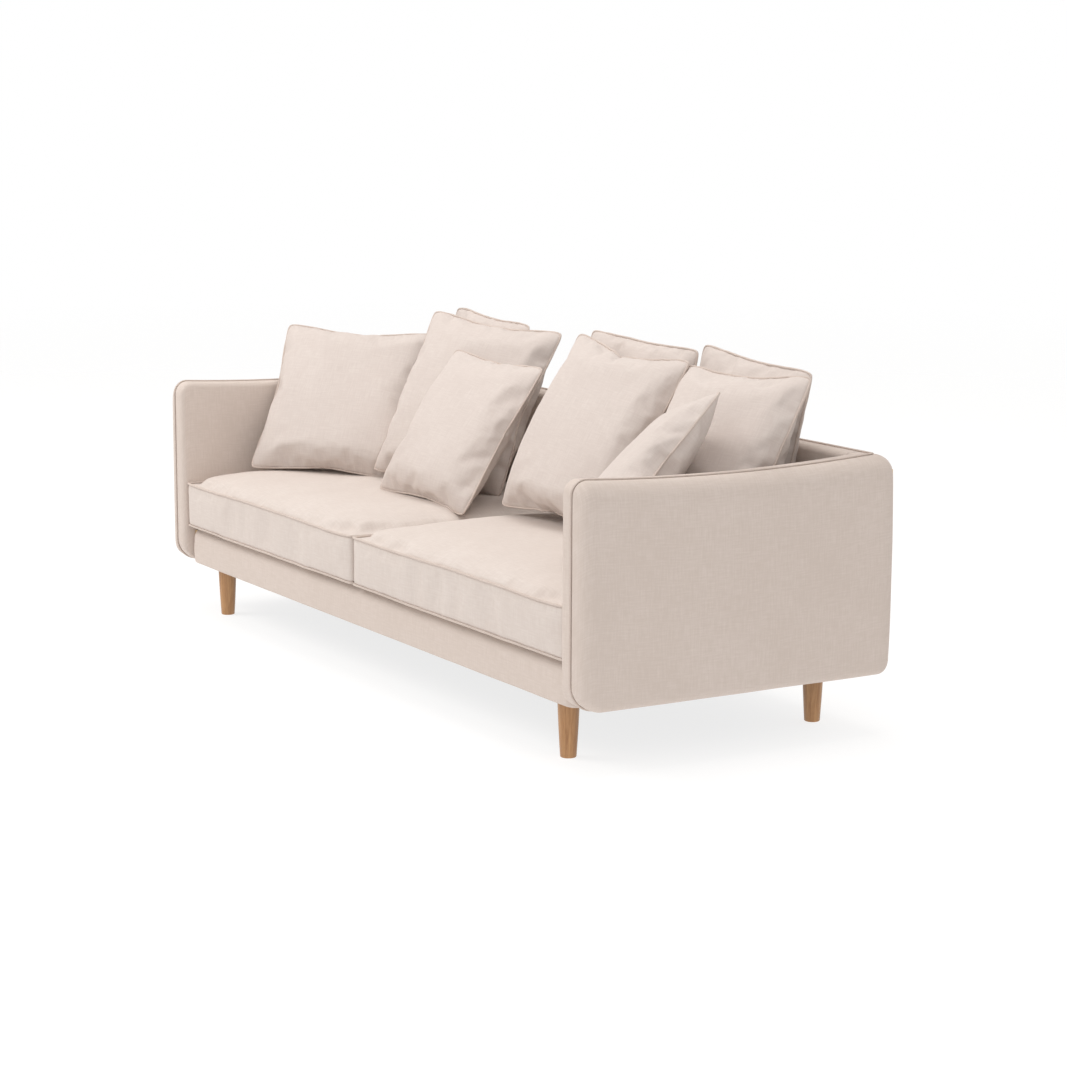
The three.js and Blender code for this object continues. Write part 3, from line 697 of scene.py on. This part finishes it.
def seat_cushion_form(name):
    """A boxed cushion: top panel, border and bottom panel on one grid. Returns the piece and its seams."""
    low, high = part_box(name)
    seam = high.z - SEAM_SINK
    middle, half = (low + high) / 2, (high - low) / 2
    bm = bmesh.new()
    layer = bm.loops.layers.uv.new("UVMap")

    def at(i, j, z, dome):
        s, t = 2 * i / SEAT_COLUMNS - 1, 2 * j / SEAT_ROWS - 1
        corner = 4 * MM * abs(s * t) ** 20  # rounds the corner off
        x = middle.x + s * (half.x - SEAT_SLACK) - math.copysign(corner, s)
        y = middle.y + t * (half.y - SEAT_SLACK) - math.copysign(corner, t)
        return Vector((x, y, z + dome * (1 - abs(s) ** 5) * (1 - abs(t) ** 4)))

    def face_uv(i, j):
        return (2 * half.x * i / SEAT_COLUMNS, 2 * half.y * j / SEAT_ROWS)

    panels = {}
    for word, z, dome in (("top", seam, SEAT_DOME), ("bottom", low.z + 5 * MM, -SEAT_BELLY)):
        for i in range(SEAT_COLUMNS + 1):
            for j in range(SEAT_ROWS + 1):
                panels[word, i, j] = bm.verts.new(at(i, j, z, dome))
    rim = [(i, 0) for i in range(SEAT_COLUMNS)] + [(SEAT_COLUMNS, j) for j in range(SEAT_ROWS)]
    rim += [(i, SEAT_ROWS) for i in range(SEAT_COLUMNS, 0, -1)] + [(0, j) for j in range(SEAT_ROWS, 0, -1)]
    for word, turn in (("top", 1), ("bottom", -1)):
        rows = [[(panels[word, i, j], face_uv(i, j)) for i in range(SEAT_COLUMNS + 1)]
                for j in range(SEAT_ROWS + 1)]
        grid_faces(bm, layer, rows[::turn])
    border = []
    for k in range(BORDER_ROWS + 1):
        row = []
        for index, (i, j) in enumerate(rim + rim[:1]):
            top, bottom = panels["top", i, j], panels["bottom", i, j]
            if k in (0, BORDER_ROWS):
                vertex = bottom if k == 0 else top
            elif index == len(rim):
                vertex = row[0][0]
            else:
                vertex = bm.verts.new(bottom.co.lerp(top.co, k / BORDER_ROWS))
            row.append((vertex, (index * 13 * MM, k * 12 * MM)))
        border.append(row)
    grid_faces(bm, layer, border)
    bmesh.ops.recalc_face_normals(bm, faces=bm.faces)
    bm.verts.index_update()
    seams = [[panels[word, i, j].index for i, j in rim] for word in ("top", "bottom")]
    volume = bm.calc_volume()
    piece = new_piece(name + "_linen", bm, CUSHION_LINEN)
    seam_group(piece, seams[0] + seams[1])
    blow_up(piece, SEAT_FILLING * volume, firmness=10, stiffness=2.0, seam_shrink=0.012)
    return piece, seams


def settle_seat_cushion(piece, name, seams):
    """Presses the blown-up cushion into its place: flat on the deck and along its neighbours."""
    low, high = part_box(name)
    seam_z = high.z - SEAM_SINK
    points = piece.data.vertices
    for axis, inset in enumerate(SEAT_INSETS):
        middle, half = (low[axis] + high[axis]) / 2, (high[axis] - low[axis]) / 2
        reach = [abs(points[i].co[axis] - middle) for seam in seams for i in seam]
        edge = [r for r in reach if r > 0.93 * max(reach)]
        stretch = (half - inset) / (sum(edge) / len(edge))
        for v in points:
            v.co[axis] = middle + (v.co[axis] - middle) * stretch
    crown = max(v.co.z for v in points)
    for v in points:
        if v.co.z > seam_z:
            blown = ((v.co.z - seam_z) / (crown - seam_z)) ** 0.7
            s, t = (min(1.0, 2 * abs(v.co[k] - (low[k] + high[k]) / 2) / (high[k] - low[k])) for k in (0, 1))
            stuffed = (1 - s ** 7) ** 0.6 * (1 - t ** 6) ** 0.6
            v.co.z = seam_z + CROWN * (0.35 * blown + 0.65 * stuffed)
        flat = v.co.copy()
        v.co.z += ripple(flat, 210 * MM, 2.5 * MM) * smooth((flat.z - low.z) / (120 * MM))
        v.co.x += ripple(flat + Vector((3, 0, 0)), 110 * MM, 1.6 * MM)
        v.co.y += ripple(flat + Vector((0, 3, 0)), 110 * MM, 2.0 * MM)
        v.co.x = min(max(v.co.x, low.x + 2 * MM), high.x - 2 * MM)
        v.co.y = max(v.co.y, low.y - 7 * MM)
        v.co.y = min(v.co.y, high.y - 1 * MM)
        v.co.z = max(v.co.z, low.z + 1 * MM)
    lines = [(evened([points[i].co for i in seam], CORD_STEP, True), True) for seam in seams]
    subdivide(piece)
    finish_soft(piece, name)
    cord = piping(name + "_piping", lines, radius=SEAT_CORD)
    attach(cord, name)


# ---- scatter pillows ----
# Side over the corners (mm), filling, then degrees: turn about the vertical, lean back, and roll in its
# own plane.
PILLOWS = {
    "pillow_left_corner": (492, 1.0, 41, 33, -2),
    "pillow_left_front": (522, 1.0, 18, 27, -4),
    "pillow_left_back": (484, 0.85, -3, 16, -2),
    "pillow_small_centre": (470, 1.0, 3, 33, -2),
    "pillow_centre_front": (524, 1.05, 4, 27, -4),
    "pillow_centre_back": (482, 0.85, 4, 12, -2),
    "pillow_right_front": (502, 1.0, 3, 26, 2),
    "pillow_right_back": (474, 0.85, 1, 11, -4),
    "pillow_small_right": (440, 1.12, -32, 40, 26),
}
FULL = 0.156  # volume of a well filled pillow over its side cubed
DRAWN_IN = 1.045  # a pillow is cut this much larger, because its corners draw in as it fills
SLIVER = 20 * MM  # how far each sheet starts from the seam's plane
EVENED_CURL = 0.85  # share of the pillow's curl that its filling takes out
SLUMP = 0.16  # how much fuller the bottom is, and thinner the top


def pillow_form(name, number):
    """Two square sheets sewn along their edges, laid almost flat. Returns the piece and its seam."""
    side, filling, *_ = PILLOWS[name]
    side *= MM * DRAWN_IN
    count = round(side / GRID)
    bm = bmesh.new()
    layer = bm.loops.layers.uv.new("UVMap")

    def at(i, j, face):
        s, t = 2 * i / count - 1, 2 * j / count - 1
        corner = 1 - 0.035 * abs(s * t) ** 9  # cuts the corner a little short
        inward = quarter(1 - abs(s)) * quarter(1 - abs(t))
        stray = 4 * MM * noise.noise(Vector((3 * s, 3 * t, 7.3 * number + face)))
        return Vector((s * side / 2 * corner, t * side / 2 * corner, (face * SLIVER + stray) * inward))

    sheets = {}
    for i in range(count + 1):
        for j in range(count + 1):
            sheets[1, i, j] = bm.verts.new(at(i, j, 1))
            rim = i in (0, count) or j in (0, count)
            sheets[-1, i, j] = sheets[1, i, j] if rim else bm.verts.new(at(i, j, -1))
    for face in (1, -1):
        rows = [[(sheets[face, i, j], (side * i / count, side * j / count)) for i in range(count + 1)]
                for j in range(count + 1)]
        grid_faces(bm, layer, rows[::face])
    bm.verts.index_update()
    rim = [(i, 0) for i in range(count)] + [(count, j) for j in range(count)]
    rim += [(i, count) for i in range(count, 0, -1)] + [(0, j) for j in range(count, 0, -1)]
    seam = [sheets[1, i, j].index for i, j in rim]
    spots = [(i, j) for i in range(count + 1) for j in range(count + 1)]
    pairs = [sheets[face, i, j].index for i, j in spots for face in (1, -1)]
    piece = new_piece(name + "_linen", bm, PILLOW_LINEN_SHADED)
    piece["pairs"] = pairs  # each front point's number, then the one behind it
    seam_group(piece, seam)
    blow_up(piece, FULL * filling * side ** 3, firmness=6, stiffness=1.0, seam_shrink=0.032)
    return piece, seam


def stand_pillow(piece, name):
    """Evens out the pillow's curl, slumps its filling a little and stands it where its CAD solid is."""
    side, _, yaw, lean, roll = PILLOWS[name]
    low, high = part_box(name)
    points = piece.data.vertices
    pairs = list(piece["pairs"])
    for a, b in zip(pairs[::2], pairs[1::2]):
        curl = EVENED_CURL * (points[a].co.z + points[b].co.z) / 2
        for index in {a, b}:
            points[index].co.z -= curl
    for v in points:
        v.co.z *= 1 - SLUMP * v.co.y / (side * MM / 2)
    turn = Matrix.Rotation(math.radians(yaw), 4, "Z") @ Matrix.Rotation(math.radians(-lean), 4, "X")
    turn = turn @ Matrix.Rotation(math.radians(-roll), 4, "Y") @ Matrix.Rotation(math.pi / 2, 4, "X")
    piece.data.transform(Matrix.Translation((low + high) / 2) @ turn)


def lower_onto(piece, surfaces):
    """Lets the pillow down until its lowest edge sinks a little into what is under it."""
    clear = []
    for v in piece.data.vertices:
        for surface in surfaces:
            hit = surface.ray_cast(v.co + Vector((0, 0, 0.2)), Vector((0, 0, -1)))[0]
            if hit is not None:
                clear.append(v.co.z - hit.z)
    piece.data.transform(Matrix.Translation((0, 0, -min(clear) - SINK)))


def surface_of(piece):
    """A piece's surface as it is now, to cast rays at."""
    mesh = piece.data
    return BVHTree.FromPolygons([v.co for v in mesh.vertices], [p.vertices[:] for p in mesh.polygons])


def dents(piece, surface, towards, gap, share):
    """Moves that bring a piece's points back out of a surface met on the way `towards` it.
    The face turned away from the surface keeps a little ahead of the one that touches it."""
    moves = {}
    for v in piece.data.vertices:
        spot, _, _, distance = surface.ray_cast(v.co - REACH * towards, towards)
        if spot is None:
            continue
        room = gap + FOLD * (1 - v.normal.dot(towards))
        depth = REACH - distance + room
        if 0 < depth < REACH:
            moves[v.index] = -share * depth * towards
    return moves


def spread_moves(piece, moves, rounds=7, fade=0.86):
    """Makes the moves, and fading ones on the points around them, so that a dent has soft edges."""
    joined = [[] for _ in piece.data.vertices]
    for edge in piece.data.edges:
        a, b = edge.vertices
        joined[a].append(b)
        joined[b].append(a)
    for _ in range(rounds):
        wider = dict(moves)
        for index in list(moves):
            for other in joined[index]:
                if other not in moves:
                    around = [moves[k] for k in joined[other] if k in moves]
                    mean = sum(around, Vector()) / len(around)
                    wider[other] = mean * fade
        moves = wider
    for index, move in moves.items():
        piece.data.vertices[index].co += move


def press(piece, surface, towards, gap, share):
    """Dents a piece where it runs into a surface."""
    moves = dents(piece, surface, towards, gap, share)
    if moves:
        spread_moves(piece, moves)
        piece.data.update()


def press_together(front, back, towards):
    """Flattens two pillows against each other, each giving way by half."""
    views = surface_of(front), surface_of(back)
    press(front, views[1], towards, 0.5 * MM, 0.5)
    press(back, views[0], -towards, 0.5 * MM, 0.5)


# ---- legs ----
FOOT_RADIUS, FOOT_EASE, FOOT_FLAT = 20 * MM, 3 * MM, 13 * MM  # the foot, its rounded edge, its first ring
LEG_BELLY = 0.6 * MM
LEG_SIDES, EASE_STEPS, LEG_STEPS = 56, 6, 14


def make_leg(name):
    """A turned, tapered leg with a rounded foot and a slight belly."""
    low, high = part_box(name)
    x, y = (low.x + high.x) / 2, (low.y + high.y) / 2
    top_radius = (high.x - low.x) / 2
    outline = [(FOOT_FLAT, low.z)]
    for k in range(EASE_STEPS + 1):
        angle = math.pi / 2 * k / EASE_STEPS
        outline.append((FOOT_RADIUS - FOOT_EASE * (1 - math.sin(angle)),
                        low.z + FOOT_EASE * (1 - math.cos(angle))))
    for k in range(1, LEG_STEPS + 1):
        t = k / LEG_STEPS
        radius = FOOT_RADIUS + (top_radius - FOOT_RADIUS) * t + LEG_BELLY * math.sin(math.pi * t)
        outline.append((radius, low.z + FOOT_EASE + (high.z - low.z - FOOT_EASE) * t))
    bm = bmesh.new()
    turns = [2 * math.pi * k / LEG_SIDES for k in range(LEG_SIDES)]
    rings = [[bm.verts.new((x + radius * math.cos(turn), y + radius * math.sin(turn), z)) for turn in turns]
             for radius, z in outline]
    for lower, upper in zip(rings, rings[1:]):
        for k in range(LEG_SIDES):
            n = (k + 1) % LEG_SIDES
            bm.faces.new([lower[k], lower[n], upper[n], upper[k]])
    bm.faces.new(list(reversed(rings[0])))
    bm.faces.new(rings[-1])
    piece = new_piece(name + "_turned", bm, BEECH)
    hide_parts(name)
    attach(piece, ROOT)


# ---- deck cloth and dust cover ----
CLOTH_COLUMNS, CLOTH_ROWS = 60, 26
CLOTH_THICKNESS = 0.8 * MM
CLOTH_SAG = 3 * MM
# How far each sheet stops short of its CAD solid at its sides, front and rear.
DECK_MARGINS = (28.5 * MM, 1.5 * MM, 25 * MM)
DUST_MARGINS = (22 * MM, 38 * MM, 38 * MM)


def make_cloth(name, material, margins):
    """A thin sheet stretched across the frame, sagging a little in the middle."""
    side, front, rear = margins
    low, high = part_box(name)
    low, high = low + Vector((side, front, 0)), high - Vector((side, rear, 0))
    bm = bmesh.new()
    layer = bm.loops.layers.uv.new("UVMap")
    grid = []
    for j in range(CLOTH_ROWS + 1):
        row = []
        for i in range(CLOTH_COLUMNS + 1):
            s, t = i / CLOTH_COLUMNS, j / CLOTH_ROWS
            point = (low + high) / 2
            point.x = low.x + (high.x - low.x) * s
            point.y = low.y + (high.y - low.y) * t
            hang = math.sin(math.pi * s) ** 0.5 * math.sin(math.pi * t) ** 0.7
            point.z -= CLOTH_SAG * hang - ripple(point, 150 * MM, 0.6 * MM) * hang
            row.append((bm.verts.new(point), (point.x, point.y)))
        grid.append(row)
    grid_faces(bm, layer, grid)
    piece = new_piece(name + "_sheet", bm, material)
    modifier = piece.modifiers.new("cloth_thickness", "SOLIDIFY")
    modifier.thickness = CLOTH_THICKNESS
    modifier.offset = 0
    baked(piece)
    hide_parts(name)
    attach(piece, ROOT)


# ---- the frame's own nodes ----
def dress_frame():
    """Gives each CAD node that shows as it is its own material; pine's grain runs along the timber."""
    for name, node in frame["nodes"].items():
        low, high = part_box(name)
        size = high - low
        if "board" in name:
            material = HARDBOARD
        elif "bolt" in name:
            material = ZINC
        elif "spring" in name:
            material = SPRING_WIRE
        else:
            material = PINE["XYZ"[max(range(3), key=lambda k: size[k])]]
        node.data.materials.clear()
        node.data.materials.append(material)


# ---- stage ----
FLOOR_RADIUS, FLOOR_FADE_FROM, FLOOR_FADE_TO = 14, 4.0, 12.0  # m
# Place (m), diameter (m), power (W) and colour of each soft light.
SOFTBOXES = {
    "key_softbox": ((-3.2, -4.2, 4.4), 3.2, 160, (1.0, 0.985, 0.97)),
    "fill_softbox": ((4.6, -3.0, 2.6), 3.0, 36, (0.97, 0.98, 1.0)),
    "top_softbox": ((0.2, 0.2, 5.2), 3.5, 105, (1.0, 0.99, 0.98)),
}


def studio_floor_material():
    """Pale matt paper that fades out far from the sofa."""
    material, tree, surface = new_material("pale_paper_floor", 0.9)
    surface.inputs["Base Color"].default_value = linear("#8c8b8a")
    surface.inputs["Emission Color"].default_value = (1, 1, 1, 1)
    surface.inputs["Emission Strength"].default_value = 0.80
    surface.inputs["Specular IOR Level"].default_value = 0.1
    place = add(tree, "ShaderNodeTexCoord").outputs["Object"]
    away = add(tree, "ShaderNodeVectorMath", {0: place}, operation="LENGTH").outputs["Value"]
    fade = add(tree, "ShaderNodeMapRange", {0: away, 1: FLOOR_FADE_FROM, 2: FLOOR_FADE_TO}).outputs[0]
    clear = add(tree, "ShaderNodeBsdfTransparent").outputs[0]
    mixed = add(tree, "ShaderNodeMixShader", {0: fade, 1: surface.outputs[0], 2: clear}).outputs[0]
    tree.links.new(mixed, tree.nodes["Material Output"].inputs[0])
    return material


def make_stage():
    """The floor, the pale surroundings and three soft lights."""
    scene = bpy.context.scene
    scene.view_settings.view_transform = "Standard"
    bm = bmesh.new()
    bmesh.ops.create_circle(bm, cap_ends=True, radius=FLOOR_RADIUS, segments=64)
    floor = new_piece("studio_floor", bm, studio_floor_material())
    world = bpy.data.worlds.new("studio")
    world.use_nodes = True
    tree = world.node_tree
    tree.nodes.clear()
    seen = add(tree, "ShaderNodeBackground", {"Color": (1, 1, 1, 1), "Strength": 1.0})
    fill = add(tree, "ShaderNodeBackground", {"Color": (1.0, 0.985, 0.97, 1), "Strength": 0.60})
    camera_ray = add(tree, "ShaderNodeLightPath").outputs["Is Camera Ray"]
    both = add(tree, "ShaderNodeMixShader", {0: camera_ray, 1: fill.outputs[0], 2: seen.outputs[0]})
    add(tree, "ShaderNodeOutputWorld", {0: both.outputs[0]})
    scene.world = world
    for name, (place, size, watts, colour) in SOFTBOXES.items():
        light = bpy.data.lights.new(name, "AREA")
        light.shape = "DISK"
        light.size = size
        light.energy = watts
        light.color = colour
        lamp = bpy.data.objects.new(name, light)
        lamp.location = place
        aim = Vector((0, 0, 0.4)) - Vector(place)
        lamp.rotation_euler = aim.to_track_quat("-Z", "Y").to_euler()
        scene.collection.objects.link(lamp)


def make_camera():
    """A camera turned by AZIMUTH from the front, raised by ELEVATION and rolled by ROLL."""
    back = Vector((math.sin(AZIMUTH) * math.cos(ELEVATION), -math.cos(AZIMUTH) * math.cos(ELEVATION),
                   math.sin(ELEVATION)))
    right = Vector((0, 0, 1)).cross(back).normalized()
    up = back.cross(right)
    rolled_right = math.cos(ROLL) * right + math.sin(ROLL) * up
    rolled_up = math.cos(ROLL) * up - math.sin(ROLL) * right
    data = bpy.data.cameras.new("camera")
    data.lens, data.sensor_width = LENS, SENSOR
    camera = bpy.data.objects.new("camera", data)
    axes = Matrix((rolled_right, rolled_up, back)).transposed().to_4x4()
    camera.matrix_world = Matrix.Translation(LOOK_AT + DISTANCE * back) @ axes
    bpy.context.scene.collection.objects.link(camera)
    bpy.context.scene.camera = camera


# ---- everything ----
make_camera()
dress_frame()
make_tub()
make_front_rail()
for side in ("left", "right"):
    for end in ("front", "rear"):
        make_leg(f"{end}_{side}_leg")
make_cloth("deck_cloth", LINING, DECK_MARGINS)
make_cloth("dust_cover", DUST_CLOTH, DUST_MARGINS)

SEATS = ("seat_cushion_left", "seat_cushion_right")
forms = {name: seat_cushion_form(name) for name in SEATS}
forms |= {name: pillow_form(name, number) for number, name in enumerate(PILLOWS)}
run_cloth([piece for piece, _ in forms.values()],
          [SEAT_MOVE if name in SEATS else PILLOW_MOVE for name in forms])
for name in SEATS:
    settle_seat_cushion(*(forms[name][0], name, forms[name][1]))
for name in PILLOWS:
    stand_pillow(forms[name][0], name)

# The pillow in front, the one behind it, and the way the first presses the second, in degrees from
# straight back.
NEIGHBOURS = [
    ("pillow_left_front", "pillow_left_back", 10), ("pillow_left_corner", "pillow_left_back", 20),
    ("pillow_left_corner", "pillow_left_front", -60), ("pillow_small_centre", "pillow_left_front", 12),
    ("pillow_centre_front", "pillow_centre_back", 4), ("pillow_right_front", "pillow_right_back", 2),
    ("pillow_small_right", "pillow_right_front", -10), ("pillow_centre_front", "pillow_right_back", -30),
    ("pillow_centre_front", "pillow_right_front", -60), ("pillow_small_right", "pillow_centre_front", 40),
]
BACKWARD, DOWN = Vector((0, 1, 0)), Vector((0, 0, -1))
SURROUNDINGS = [("left_arm", Vector((-1, 0, 0))), ("right_arm", Vector((1, 0, 0))), ("back", BACKWARD)]
SURROUNDINGS += [(forms[name][0].name, DOWN) for name in SEATS]
surroundings = [(surface_of(bpy.data.objects[name]), towards) for name, towards in SURROUNDINGS]
for name in PILLOWS:
    lower_onto(forms[name][0], [surface for surface, _ in surroundings[3:]])
for _ in range(PRESS_ROUNDS):
    for first, second, angle in NEIGHBOURS:
        towards = Matrix.Rotation(math.radians(angle), 3, "Z") @ BACKWARD
        press_together(forms[first][0], forms[second][0], towards)
    for name in PILLOWS:
        for surface, towards in surroundings:
            press(forms[name][0], surface, towards, 1.0 * MM, 1.0)
for name in PILLOWS:
    piece, seam = forms[name]
    line = evened([piece.data.vertices[i].co for i in seam], CORD_STEP, True)
    subdivide(piece)
    finish_soft(piece, name)
    cord = piping(name + "_piping", [(line, True)], radius=PILLOW_CORD)
    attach(cord, name)

make_stage()
